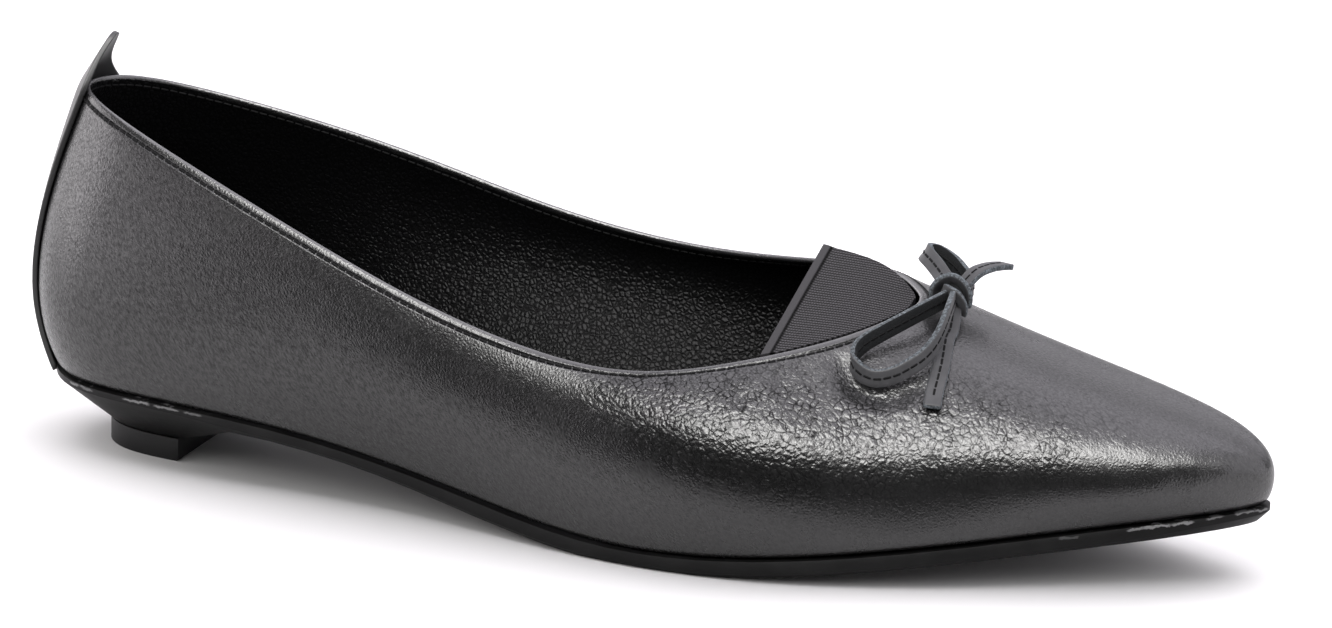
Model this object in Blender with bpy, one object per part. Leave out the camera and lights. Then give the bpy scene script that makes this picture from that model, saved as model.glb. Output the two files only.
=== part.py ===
# Ballet flat, right shoe: pointed toe, low inset block heel, elastic gore, lace bow, pull tab.
# Metres, +Z up, toe to +X, outer side to -Y, standing on the plane z = 0.
from collections import namedtuple

import bmesh
import bpy
import numpy as np
from mathutils import Vector
from mathutils.bvhtree import BVHTree

MM = 0.001

# Driving sizes of the last
LENGTH = 0.256           # heel to toe at the feather line, where upper and sole meet
BALL_WIDTH = 0.074       # across the ball at the feather line
BACK_HEIGHT = 0.0714     # floor to topline at the back seam
SEAT_HEIGHT = 0.0149     # floor to feather line under the heel
WALL = 0.0016            # leather and lining together
FOLD = 0.0007            # how far the folded topline stands above the wall's edge
GAP = 0.0003             # clearance where two pieces meet

# Sole, insole and heel block
SOLE_THICKNESS = 0.0034   # forefoot
SHANK_THICKNESS = 0.0026  # waist, between heel and ball
SHANK_END = (0.075, 0.110)  # where the sole grows from the one to the other
SOLE_LIP = 0.0004        # sole edge outside the feather line
SOLE_BEVEL = 0.0009
TOE_BEVEL = 0.0022       # the same at the tip of the toe
TOE_RUN = 0.024          # over which the one grows to the other
SEAT_LIP = 0.0012        # upright edge above the tapered heel seat
BREAST = 0.0365          # front face of the heel block, from the back of the heel
BLOCK_HEIGHT = 0.0047
BLOCK_DEPTH_SHARE = 0.65 # block outline as a share of the heel outline, front to back
BLOCK_WIDTH_SHARE = 0.60 # and side to side
BLOCK_BEVEL = 0.0005
FLARE = 0.018            # run over which the heel seat thins out to the shank
INSOLE_THICKNESS = 0.0022

# Back strip, pull tab and elastic gore
STRIP_WIDTH = 0.019
STRIP_THICKNESS = 0.0011
STRIP_FOOT = 0.014       # where the strip starts up the wall, 0 at the feather line and 1 at the topline
TAB_HEIGHT = 0.0106
TAB_LEAN = 0.64          # forward run for each unit of rise
ELASTIC_THICKNESS = 0.0012
ELASTIC_CLEARANCE = 0.0006    # to the folded topline, whose facets cut inside its curve
ELASTIC_OUTER_START = 0.334   # free edge on the outer side, in shares of the walk around the wall
ELASTIC_INNER_START = 0.675   # free edge on the inner side
ELASTIC_CREST = 0.0034   # how far the inner corner of the free edge stands up

# Lace of the bow
LACE_WIDTH = 0.0036
LACE_THICKNESS = 0.0012
LACE_ROUND = 0.3         # corner rounding in shares of the half thickness
LACE_CLEARANCE = 0.12    # between the knot and a lace's end, in shares of the knot's radius
LOOP_LEAN = (0.72, 0.46, 0.53)  # the inner loop's broad side where it leaves the knot; it comes back upright
KNOT_AT = (0.1930, 0.0015)
KNOT_RADII = (0.0033, 0.0042, 0.0042)

# Fineness of the meshes
COLUMNS = 104
WALL_ROWS = 12
STRIP_COLUMNS = 8
STRIP_ROWS = 12
ELASTIC_PAIRS = 12
ELASTIC_CROSS = 6
BLOCK_COLUMNS = 30
LACE_STEPS = 30
KNOT_SEGMENTS = 20
KNOT_RINGS = 12
TURN_WEIGHT = 0.8        # how strongly columns gather where the outline turns
SPLINE_STEPS = 16        # between two points of a lace's route
WALK_STEPS = 1000        # along the outline where places on it are looked up
SMALL_STEP = 0.001       # shares over which slopes are taken
SHARP_ANGLE = 0.7        # radians, edges that bend more are shaded sharp

# Shares of the walk around the shoe, to each side of the back seam
HEEL_REACH = 0.2         # holds the whole heel block
STRIP_REACH = 0.06       # holds the back strip
OVERHEAD = 0.2           # height that is above all of the upper

Station = namedtuple("Station", "sole_x sole_y sole_z top_x top_y top_z belly rise reach drop")
# One row for each section of the wall, from the feather line to the topline.
# x in lengths, y in ball widths, sole_z in seat heights, top_z in back heights.
# belly and rise shape the foot of the section, reach and drop its top, in shares of its span.
HEEL_BACK = Station(0.021, 0.000, 1.00, 0.039, 0.000, 1.000, 0.145, 0.28, 0.125, 0.38)
OUTER_SIDE = [
    Station(0.050, -0.220, 1.00, 0.056, -0.132, 0.996, 0.155, 0.28, 0.120, 0.38),
    Station(0.125, -0.325, 1.00, 0.109, -0.254, 0.953, 0.120, 0.28, 0.130, 0.36),
    Station(0.254, -0.354, 0.86, 0.250, -0.381, 0.784, 0.120, 0.30, 0.120, 0.35),
    Station(0.391, -0.400, 0.50, 0.398, -0.455, 0.608, 0.140, 0.32, 0.160, 0.33),
    Station(0.527, -0.497, 0.21, 0.535, -0.468, 0.531, 0.121, 0.45, 0.286, 0.13),
    Station(0.645, -0.501, 0.27, 0.621, -0.395, 0.569, 0.137, 0.46, 0.507, 0.27),
    Station(0.781, -0.360, 0.53, 0.684, -0.270, 0.618, 0.097, 0.53, 0.399, 0.39),
    Station(0.918, -0.122, 0.84, 0.717, -0.115, 0.656, 0.137, 0.18, 0.676, 0.27),
]
TOE_TIP = Station(1.000, 0.092, 1.02, 0.727, 0.027, 0.673, 0.102, 0.23, 0.630, 0.23)
INNER_SIDE = [
    Station(0.918, 0.277, 0.83, 0.711, 0.142, 0.677, 0.113, 0.20, 0.563, 0.22),
    Station(0.781, 0.438, 0.53, 0.670, 0.291, 0.667, 0.088, 0.43, 0.415, 0.24),
    Station(0.645, 0.458, 0.26, 0.602, 0.405, 0.631, 0.125, 0.44, 0.410, 0.20),
    Station(0.527, 0.349, 0.20, 0.512, 0.457, 0.606, 0.125, 0.41, 0.245, 0.19),
    Station(0.391, 0.277, 0.58, 0.383, 0.447, 0.662, 0.120, 0.34, 0.140, 0.33),
    Station(0.254, 0.316, 0.88, 0.242, 0.400, 0.800, 0.120, 0.30, 0.120, 0.35),
    Station(0.125, 0.334, 1.00, 0.105, 0.268, 0.931, 0.120, 0.28, 0.130, 0.36),
    Station(0.050, 0.220, 1.00, 0.054, 0.140, 0.983, 0.155, 0.28, 0.120, 0.38),
]
SPREAD = 0.025           # how strongly the top of a section leans along the outline's outward side

TabRow = namedtuple("TabRow", "rise breadth aside")
# Pull tab above the topline: rise in tab heights, breadth and lean to the outer side in strip widths
TAB_ROWS = [
    TabRow(0.18, 0.80, 0.05),
    TabRow(0.36, 0.60, 0.07),
    TabRow(0.54, 0.43, 0.07),
    TabRow(0.72, 0.31, 0.06),
    TabRow(0.86, 0.23, 0.05),
    TabRow(0.95, 0.16, 0.04),
    TabRow(1.00, 0.08, 0.03),
]

LacePoint = namedtuple("LacePoint", "forward side lift")
# Routes of the bow's laces from the knot: millimetres forward of it, towards the inner side, and up.
# On the outer side lift is measured from the vamp, on the inner side from the knot's seat.
OUTER_LOOP = [
    LacePoint(-3.8, -8.8, 4.3),
    LacePoint(-6.5, -13.5, 3.7),
    LacePoint(-8.9, -16.7, 3.3),
    LacePoint(-11.2, -19.6, 3.0),
    LacePoint(-12.4, -21.8, 2.8),
    LacePoint(-11.8, -23.3, 2.7),
    LacePoint(-9.7, -24.1, 2.7),
    LacePoint(-6.8, -23.8, 2.8),
    LacePoint(-3.8, -22.2, 3.0),
    LacePoint(-1.5, -20.1, 3.3),
    LacePoint(0.1, -18.0, 3.7),
    LacePoint(1.1, -15.4, 4.2),
    LacePoint(1.3, -12.2, 5.0),
    LacePoint(0.6, -7.7, 6.0),
]
INNER_LOOP = [
    LacePoint(-4.6, 5.0, 6.4),
    LacePoint(-7.2, 7.6, 7.5),
    LacePoint(-9.4, 9.8, 8.2),
    LacePoint(-10.0, 11.6, 8.3),
    LacePoint(-8.1, 12.4, 8.0),
    LacePoint(-4.6, 10.9, 7.0),
    LacePoint(-1.6, 8.7, 5.8),
    LacePoint(1.0, 6.6, 4.0),
]
OUTER_TAIL = [
    LacePoint(1.4, -6.5, 1.0),
    LacePoint(1.9, -10.0, 1.1),
    LacePoint(3.0, -14.2, 1.0),
    LacePoint(3.7, -17.3, 1.0),
    LacePoint(4.2, -21.3, 1.2),
    LacePoint(4.7, -23.8, 1.8),
]
INNER_TAIL = [
    LacePoint(2.5, 4.6, 7.6),
    LacePoint(3.6, 8.2, 7.8),
    LacePoint(4.6, 11.5, 7.4),
    LacePoint(5.4, 14.3, 6.8),
]


# Curves and wall functions

def closed_spline(knots, values, at):
    """Smooth curve through the rows of values at knots in 0..1, running round and closing."""
    step = np.diff(np.append(knots, knots[0] + 1.0))
    count = len(knots)
    system = np.zeros((count, count))
    slopes = (np.roll(values, -1, axis=0) - values) / step[:, None]
    for i in range(count):
        system[i, i - 1] += step[i - 1]
        system[i, i] += 2.0 * (step[i - 1] + step[i])
        system[i, (i + 1) % count] += step[i]
    bend = np.linalg.solve(system, 6.0 * (slopes - np.roll(slopes, 1, axis=0)))
    at = np.mod(np.asarray(at, float) - knots[0], 1.0) + knots[0]
    i = np.clip(np.searchsorted(knots, at, side="right") - 1, 0, count - 1)
    k = (i + 1) % count
    h = step[i][:, None]
    b = (at - knots[i])[:, None] / h
    a = 1.0 - b
    return a * values[i] + b * values[k] + ((a**3 - a) * bend[i] + (b**3 - b) * bend[k]) * h * h / 6.0


def open_spline(points, count):
    """Evenly walked points on a smooth curve through a few given points."""
    points = np.asarray(points, float)
    padded = np.vstack([2 * points[0] - points[1], points, 2 * points[-1] - points[-2]])
    fine = []
    for p0, p1, p2, p3 in zip(padded, padded[1:], padded[2:], padded[3:]):
        for t in np.linspace(0, 1, SPLINE_STEPS, endpoint=False):
            fine.append(0.5 * (2 * p1 + (p2 - p0) * t + (2 * p0 - 5 * p1 + 4 * p2 - p3) * t**2
                               + (3 * p1 - p0 - 3 * p2 + p3) * t**3))
    fine = np.vstack([fine, points[-1]])
    walked = np.append(0, np.cumsum(np.linalg.norm(np.diff(fine, axis=0), axis=1)))
    at = np.linspace(0, walked[-1], count)
    return np.stack([np.interp(at, walked, fine[:, c]) for c in range(fine.shape[1])], axis=1)


def unit(vectors):
    return vectors / np.linalg.norm(vectors, axis=-1, keepdims=True)


SECTIONS = np.array([HEEL_BACK, *OUTER_SIDE, TOE_TIP, *INNER_SIDE]) * [
    LENGTH, BALL_WIDTH, SEAT_HEIGHT, LENGTH, BALL_WIDTH, BACK_HEIGHT, 1, 1, 1, 1]
CHORDS = np.linalg.norm(np.roll(SECTIONS, -1, axis=0)[:, :3] - SECTIONS[:, :3], axis=1)
KNOTS = np.append(0, np.cumsum(CHORDS))[:-1] / CHORDS.sum()
TOE_KNOT = KNOTS[len(OUTER_SIDE) + 1]


def feather(around):
    """Feather line, the seam of upper and sole, by share of the walk around the shoe."""
    return closed_spline(KNOTS, SECTIONS, around)[:, :3]


def outward(around):
    """Level direction pointing out of the outline."""
    along = feather(around + SMALL_STEP) - feather(around - SMALL_STEP)
    return unit(np.stack([along[:, 1], -along[:, 0], 0 * along[:, 0]], axis=1))


def wall_skin(around, up):
    """Outer face of the upper on a grid: around the shoe, and up from the feather line to the topline."""
    row = closed_spline(KNOTS, SECTIONS, around)
    foot, top, shape = row[:, :3], row[:, 3:6], row[:, 6:]
    out = outward(around)
    lean = (foot - top) * [1, 1, 0] + SPREAD * out
    span = np.linalg.norm(top - foot, axis=1, keepdims=True)
    rise = np.array([0, 0, 1.0])
    low = foot + span * (shape[:, 0:1] * out + shape[:, 1:2] * rise)
    high = top + span * (shape[:, 2:3] * unit(lean) - shape[:, 3:4] * rise)
    weights = [(1 - up)**3, 3 * (1 - up)**2 * up, 3 * (1 - up) * up**2, up**3]
    return sum(w[None, :, None] * p[:, None, :] for w, p in zip(weights, (foot, low, high, top)))


def wall(around, up, lift=0.0, climb=0.0):
    """Grid of points on the upper's outer face, moved out by lift and up along the wall by climb."""
    around = np.asarray(around, float)
    up = np.asarray(up, float)
    across = wall_skin(around + SMALL_STEP, up) - wall_skin(around - SMALL_STEP, up)
    rising = wall_skin(around, up + SMALL_STEP) - wall_skin(around, up - SMALL_STEP)
    return wall_skin(around, up) + lift * unit(np.cross(across, rising)) + climb * unit(rising)


def column_places(count):
    """Places around the shoe, half on each side, closer together where the outline turns."""
    places = []
    for start, end in ((0.0, TOE_KNOT), (TOE_KNOT, 1.0)):
        fine = np.linspace(start, end, WALK_STEPS + 1)
        steps = np.diff(feather(fine)[:, :2], axis=0)
        length = np.hypot(steps[:, 0], steps[:, 1])
        heading = np.unwrap(np.arctan2(steps[:, 1], steps[:, 0]))
        turn = np.abs(np.gradient(heading))
        measure = np.append(0, np.cumsum(length / length.sum() + TURN_WEIGHT * turn / turn.sum()))
        at = np.linspace(0, measure[-1], count // 2 + 1)[:-1]
        places.append(np.interp(at, measure, fine))
    return np.concatenate(places)


def smooth_step(x):
    x = np.clip(x, 0.0, 1.0)
    return x * x * (3 - 2 * x)


# Mesh building

def material(name, colour, roughness):
    made = bpy.data.materials.new(name)
    made.use_nodes = True
    shader = made.node_tree.nodes["Principled BSDF"]
    shader.inputs["Base Color"].default_value = (*colour, 1.0)
    shader.inputs["Roughness"].default_value = roughness
    shader.inputs["Metallic"].default_value = 0.0
    return made


def add_object(name, bm, look):
    """Make a named object of a finished bmesh, with outward faces and smooth shading."""
    bmesh.ops.recalc_face_normals(bm, faces=bm.faces)
    mesh = bpy.data.meshes.new(name)
    bm.to_mesh(mesh)
    bm.free()
    mesh.shade_smooth()
    mesh.set_sharp_from_angle(angle=SHARP_ANGLE)
    mesh.materials.append(look)
    made = bpy.data.objects.new(name, mesh)
    bpy.context.scene.collection.objects.link(made)
    return made


def add_ring(bm, points):
    return [bm.verts.new(p) for p in points]


def bridge(bm, lower, upper, closed=True):
    """Quads between two rows of vertices of equal count."""
    count = len(lower)
    for i in range(count if closed else count - 1):
        k = (i + 1) % count
        bm.faces.new((lower[i], lower[k], upper[k], upper[i]))


def ladder_cap(bm, ring):
    """Close a ring that runs back, outer side, toe, inner side with strips from side to side."""
    half = len(ring) // 2
    bm.faces.new((ring[0], ring[1], ring[-1]))
    for i in range(1, half - 1):
        bm.faces.new((ring[i], ring[i + 1], ring[-i - 1], ring[-i]))
    bm.faces.new((ring[half - 1], ring[half], ring[half + 1]))


def slab(bm, face, back):
    """Closed sheet between two equal grids of points, listed as rows."""
    front_rows = [add_ring(bm, row) for row in face]
    back_rows = [add_ring(bm, row) for row in back]
    for rows in (front_rows, back_rows):
        for low, high in zip(rows, rows[1:]):
            bridge(bm, low, high, closed=False)
    bridge(bm, front_rows[0], back_rows[0], closed=False)
    bridge(bm, front_rows[-1], back_rows[-1], closed=False)
    for side in (0, -1):
        bridge(bm, [row[side] for row in front_rows], [row[side] for row in back_rows], closed=False)


# Pieces of the shoe

def make_upper(look):
    around = column_places(COLUMNS)
    up = np.linspace(0, 1, WALL_ROWS)
    lift = [0, 0, GAP]
    outer = wall(around, up) + lift
    inner = wall(around, up, -WALL) + lift
    inner[:, 0, 2] = outer[:, 0, 2]
    fold = wall(around, [1.0], -WALL / 2, FOLD)[:, 0] + lift
    bm = bmesh.new()
    rings = [add_ring(bm, outer[:, k]) for k in range(WALL_ROWS)]
    rings.append(add_ring(bm, fold))
    rings += [add_ring(bm, inner[:, k]) for k in reversed(range(WALL_ROWS))]
    for low, high in zip(rings, rings[1:] + rings[:1]):
        bridge(bm, low, high)
    return add_object("upper", bm, look)


def make_outsole(look):
    around = column_places(COLUMNS)
    edge = feather(around) + SOLE_LIP * outward(around)
    thin = smooth_step((edge[:, 0] - BREAST) / FLARE)
    full = smooth_step((edge[:, 0] - SHANK_END[0]) / (SHANK_END[1] - SHANK_END[0]))
    thickness = SHANK_THICKNESS + full * (SOLE_THICKNESS - SHANK_THICKNESS)
    toe = smooth_step((edge[:, 0] - LENGTH + TOE_RUN) / TOE_RUN)
    bevel = SOLE_BEVEL + toe * (TOE_BEVEL - SOLE_BEVEL)
    side = edge.copy()
    side[:, 2] -= SEAT_LIP + thin * (thickness - bevel - SEAT_LIP)
    tread = edge - bevel[:, None] * outward(around)
    tread[:, 2] = np.maximum(edge[:, 2] - thickness, 0.0)
    ahead = edge[:, 0] - BREAST
    seat = edge * [1, BLOCK_WIDTH_SHARE, 0] + [0, 0, BLOCK_HEIGHT + GAP]
    seat[:, 0] = BREAST + np.where(ahead < 0, BLOCK_DEPTH_SHARE * ahead, ahead)
    bottom = seat + thin[:, None] * (tread - seat)
    bm = bmesh.new()
    rings = [add_ring(bm, points) for points in (edge, side, bottom)]
    bridge(bm, rings[0], rings[1])
    bridge(bm, rings[1], rings[2])
    ladder_cap(bm, rings[0])
    ladder_cap(bm, rings[2])
    return add_object("outsole", bm, look)


def make_insole(look):
    around = column_places(COLUMNS // 2)
    rim = wall(around, [0.0], -WALL)[:, 0] - GAP * outward(around)
    low = np.column_stack([rim[:, :2], feather(around)[:, 2] + GAP])
    high = low + [0, 0, INSOLE_THICKNESS]
    bm = bmesh.new()
    rings = [add_ring(bm, points) for points in (low, high)]
    bridge(bm, rings[0], rings[1])
    ladder_cap(bm, rings[0])
    ladder_cap(bm, rings[1])
    return add_object("insole", bm, look)


def make_heel_block(look):
    fine = np.linspace(-HEEL_REACH, HEEL_REACH, 2 * WALK_STEPS + 1)
    line = feather(fine) + SOLE_LIP * outward(fine)
    inside = fine[line[:, 0] <= BREAST]
    around = np.linspace(inside[0], inside[-1], BLOCK_COLUMNS)
    outline = feather(around) + SOLE_LIP * outward(around)
    outline[[0, -1], 0] = BREAST
    side = (outline[:, :2] - [BREAST, 0]) * [BLOCK_DEPTH_SHARE, BLOCK_WIDTH_SHARE]
    bm = bmesh.new()
    heights = ((0.0, BLOCK_BEVEL), (BLOCK_BEVEL, 0.0), (BLOCK_HEIGHT, 0.0))
    rings = []
    for z, shrink in heights:
        tight = 1 - shrink / (BLOCK_DEPTH_SHARE * BREAST)
        ring = np.column_stack([side * tight + [BREAST - shrink, 0], np.full(BLOCK_COLUMNS, z)])
        rings.append(add_ring(bm, ring))
    for low, high in zip(rings, rings[1:]):
        bridge(bm, low, high)
    bm.faces.new(rings[0])
    bm.faces.new(rings[-1])
    return add_object("heel_block", bm, look)


def strip_row(up, breadth, lift, aside=0.0):
    """Row of points across the back seam, breadth wide, on the lifted wall."""
    fine = np.linspace(-STRIP_REACH, STRIP_REACH, WALK_STEPS + 1)
    line = wall(fine, [up])[:, 0]
    walked = np.append(0, np.cumsum(np.linalg.norm(np.diff(line, axis=0), axis=1)))
    walked -= walked[len(fine) // 2]
    across = np.linspace(-breadth / 2, breadth / 2, STRIP_COLUMNS + 1) + aside
    at = np.interp(across, walked, fine)
    return wall(at, [up], lift)[:, 0]


def make_back_strip(look):
    faces = []
    for lift in (GAP + STRIP_THICKNESS, GAP):
        rows = [strip_row(up, STRIP_WIDTH, lift) for up in np.linspace(STRIP_FOOT, 1.0, STRIP_ROWS)]
        for row in TAB_ROWS:
            rise = row.rise * TAB_HEIGHT
            line = strip_row(1.0, row.breadth * STRIP_WIDTH, lift, row.aside * STRIP_WIDTH)
            rows.append(line + [TAB_LEAN * rise, 0, rise])
        faces.append(rows)
    bm = bmesh.new()
    slab(bm, *faces)
    return add_object("back_strip", bm, look)


def make_elastic(look):
    sides = []
    for start in (ELASTIC_OUTER_START, ELASTIC_INNER_START):
        around = np.linspace(start, TOE_KNOT, ELASTIC_PAIRS + 1)[:-1]
        sides.append(wall(around, [1.0], -WALL / 2, FOLD + ELASTIC_CLEARANCE)[:, 0])
    outer, inner = sides
    inner[:, 2] += ELASTIC_CREST * np.linspace(1, 0, ELASTIC_PAIRS)**2
    shares = np.linspace(0, 1, ELASTIC_CROSS + 1)[:, None]
    face = [a + shares * (b - a) for a, b in zip(outer, inner)]
    back = [row - [0, 0, ELASTIC_THICKNESS] for row in face]
    bm = bmesh.new()
    slab(bm, face, back)
    return add_object("throat_elastic", bm, look)


def vamp_finder(upper):
    """Function that gives the height and normal of the upper below a point in plan."""
    tree = BVHTree.FromPolygons([v.co for v in upper.data.vertices],
                                [p.vertices for p in upper.data.polygons])

    def find(x, y):
        hit, normal, _, _ = tree.ray_cast(Vector((x, y, OVERHEAD)), Vector((0, 0, -1)))
        return np.array(hit), np.array(normal)
    return find


def knot_centre(find):
    seat, _ = find(*KNOT_AT)
    return seat + [0, 0, KNOT_RADII[2] + GAP]


def from_knot(centre, point):
    """Where a lace bound for point leaves the knot."""
    heading = point - centre
    return centre + heading / np.linalg.norm(heading / KNOT_RADII) * (1 + LACE_CLEARANCE)


def lace_route(points, find, on_vamp, closed):
    """Route of a lace out of the knot, and back into it where it is a loop."""
    centre = knot_centre(find)
    route = []
    for point in points:
        x = KNOT_AT[0] + point.forward * MM
        y = KNOT_AT[1] + point.side * MM
        if on_vamp:
            hit, normal = find(x, y)
            route.append(hit + normal * point.lift * MM)
        else:
            route.append(np.array([x, y, centre[2] - KNOT_RADII[2] + point.lift * MM]))
    route.insert(0, from_knot(centre, route[0]))
    if closed:
        route.append(from_knot(centre, route[-1]))
    return open_spline(route, LACE_STEPS)


def make_lace(name, route, breadth_of, look):
    """Flat lace swept along a route, with its broad side along breadth_of at each step."""
    along = unit(np.gradient(route, axis=0))
    broad = breadth_of(route, along)
    broad = unit(broad - along * np.sum(along * broad, axis=1, keepdims=True))
    thick = np.cross(along, broad)
    w, t = LACE_WIDTH / 2, LACE_THICKNESS / 2
    cut = t * LACE_ROUND
    profile = [(w, t - cut), (w - cut, t), (cut - w, t), (-w, t - cut),
               (-w, cut - t), (cut - w, -t), (w - cut, -t), (w, cut - t)]
    bm = bmesh.new()
    rings = []
    for centre, b, d in zip(route, broad, thick):
        rings.append(add_ring(bm, [centre + b * u + d * v for u, v in profile]))
    for low, high in zip(rings, rings[1:]):
        bridge(bm, low, high)
    bm.faces.new(rings[0])
    bm.faces.new(rings[-1])
    return add_object(name, bm, look)


def make_bow(upper, look):
    find = vamp_finder(upper)

    def on_edge(route, along):
        return np.array([find(x, y)[1] for x, y, _ in route])

    def upright(route, along):
        return np.tile([0.0, 0.0, 1.0], (len(route), 1))

    def leaning(route, along):
        share = smooth_step(np.linspace(0, 1, len(route)))[:, None]
        return (1 - share) * np.array(LOOP_LEAN) + share * upright(route, along)

    def level(route, along):
        return np.cross(upright(route, along), along)

    def lying(route, along):
        return np.cross(on_edge(route, along), along)

    make_lace("bow_loop_outer", lace_route(OUTER_LOOP, find, True, True), upright, look)
    make_lace("bow_loop_inner", lace_route(INNER_LOOP, find, False, True), leaning, look)
    make_lace("bow_tail_outer", lace_route(OUTER_TAIL, find, True, False), lying, look)
    make_lace("bow_tail_inner", lace_route(INNER_TAIL, find, False, False), level, look)

    bm = bmesh.new()
    bmesh.ops.create_uvsphere(bm, u_segments=KNOT_SEGMENTS, v_segments=KNOT_RINGS, radius=1.0)
    bmesh.ops.scale(bm, vec=KNOT_RADII, verts=bm.verts)
    bmesh.ops.translate(bm, vec=knot_centre(find), verts=bm.verts)
    add_object("bow_knot", bm, look)


def centre_on_floor(objects):
    """Bring the middle of the whole shoe's plan over the origin."""
    corners = np.array([v.co for o in objects for v in o.data.vertices])
    middle = (corners.min(axis=0) + corners.max(axis=0)) / 2
    for shoe_piece in objects:
        shoe_piece.location = (-middle[0], -middle[1], 0)


def main():
    for old in list(bpy.data.objects):
        bpy.data.objects.remove(old)
    leather = material("upper_leather", (0.018, 0.018, 0.020), 0.45)
    upper = make_upper(leather)
    make_outsole(material("sole_rubber", (0.015, 0.015, 0.016), 0.6))
    make_heel_block(material("heel_rubber", (0.013, 0.013, 0.014), 0.65))
    make_insole(material("insole_leather", (0.012, 0.012, 0.013), 0.5))
    make_back_strip(material("strip_leather", (0.018, 0.018, 0.020), 0.5))
    make_elastic(material("elastic_weave", (0.030, 0.030, 0.032), 0.85))
    make_bow(upper, material("lace_leather", (0.030, 0.034, 0.038), 0.5))
    centre_on_floor(list(bpy.context.scene.collection.objects))


main()
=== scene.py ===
# Ballet flat, right shoe: leather, stitching, elastic, bow, sole and studio
import math

import bmesh
import bpy
import numpy as np
from mathutils import Matrix, Vector
from mathutils.bvhtree import BVHTree
from mathutils.kdtree import KDTree


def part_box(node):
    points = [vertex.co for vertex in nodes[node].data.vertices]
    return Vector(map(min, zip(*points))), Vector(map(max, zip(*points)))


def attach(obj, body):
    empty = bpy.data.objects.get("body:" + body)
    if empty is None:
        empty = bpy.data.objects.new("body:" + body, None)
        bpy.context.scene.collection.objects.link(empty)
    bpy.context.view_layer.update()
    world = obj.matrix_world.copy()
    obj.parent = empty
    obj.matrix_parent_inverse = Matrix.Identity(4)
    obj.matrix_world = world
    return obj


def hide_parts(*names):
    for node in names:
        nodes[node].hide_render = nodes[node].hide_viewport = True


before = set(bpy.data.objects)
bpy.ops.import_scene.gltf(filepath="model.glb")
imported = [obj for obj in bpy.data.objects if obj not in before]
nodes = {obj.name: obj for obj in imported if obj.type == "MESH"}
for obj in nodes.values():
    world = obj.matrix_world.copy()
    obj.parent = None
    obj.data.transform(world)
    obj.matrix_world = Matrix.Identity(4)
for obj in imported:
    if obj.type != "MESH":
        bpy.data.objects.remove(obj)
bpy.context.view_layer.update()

mm = 0.001
scene = bpy.context.scene


# small helpers for working on one object at a time

def pick(piece):
    bpy.ops.object.select_all(action="DESELECT")
    piece.select_set(True)
    bpy.context.view_layer.objects.active = piece


def applyModifier(piece, name, kind, **settings):
    pick(piece)
    made = piece.modifiers.new(name, kind)
    for key, value in settings.items():
        setattr(made, key, value)
    bpy.ops.object.modifier_apply(modifier=made.name)


def startFrom(node, name):
    # a merged copy of a frame node, with its triangles paired up again
    piece = bpy.data.objects.new(name, nodes[node].data.copy())
    scene.collection.objects.link(piece)
    piece.data.materials.clear()
    pick(piece)
    bpy.ops.mesh.customdata_custom_splitnormals_clear()
    bpy.ops.object.mode_set(mode="EDIT")
    bpy.ops.mesh.select_all(action="SELECT")
    bpy.ops.mesh.remove_doubles(threshold=0.01 * mm)
    bpy.ops.mesh.tris_convert_to_quads(face_threshold=math.radians(50), shape_threshold=math.radians(70))
    bpy.ops.object.mode_set(mode="OBJECT")
    return piece


def creaseEdges(piece, degrees, strength):
    # edges that bend sharply stay firm under Subdivision Surface
    bm = bmesh.new()
    bm.from_mesh(piece.data)
    crease = bm.edges.layers.float.get("crease_edge") or bm.edges.layers.float.new("crease_edge")
    for edge in bm.edges:
        if len(edge.link_faces) == 2 and edge.calc_face_angle() > math.radians(degrees):
            edge[crease] = strength
    bm.to_mesh(piece.data)
    bm.free()


def roundEdges(piece, width, segments, degrees):
    applyModifier(piece, "Round", "BEVEL", width=width, segments=segments, limit_method="ANGLE",
                  angle_limit=math.radians(degrees))


def smoothBy(piece, degrees):
    pick(piece)
    bpy.ops.object.shade_smooth_by_angle(angle=math.radians(degrees))


def seat(piece, looks, slotName, *stoodFor):
    # give a piece its finish and hang it on the shoe
    for look in looks:
        piece.data.materials.append(look)
    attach(piece, "root")
    if stoodFor:
        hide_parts(*stoodFor)


def vertexPlaces(piece):
    flat = np.empty(len(piece.data.vertices) * 3)
    piece.data.vertices.foreach_get("co", flat)
    return flat.reshape(-1, 3)


def setPlaces(piece, places):
    piece.data.vertices.foreach_set("co", places.ravel())
    piece.data.update()


def vertexNormals(piece):
    flat = np.empty(len(piece.data.vertices) * 3)
    piece.data.vertices.foreach_get("normal", flat)
    return flat.reshape(-1, 3)


def keep(piece, name, values):
    # a number at each vertex, for the shader to read
    made = piece.data.attributes.new(name, "FLOAT", "POINT")
    made.data.foreach_set("value", np.asarray(values, dtype=np.float32))


def surfaceOf(piece):
    mesh = piece.data
    return BVHTree.FromPolygons([v.co for v in mesh.vertices], [p.vertices for p in mesh.polygons])


def unit(vectors):
    return vectors / np.maximum(np.linalg.norm(vectors, axis=-1, keepdims=True), 1e-9)


def soft(x):
    x = np.clip(x, 0.0, 1.0)
    return x * x * (3 - 2 * x)


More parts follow.
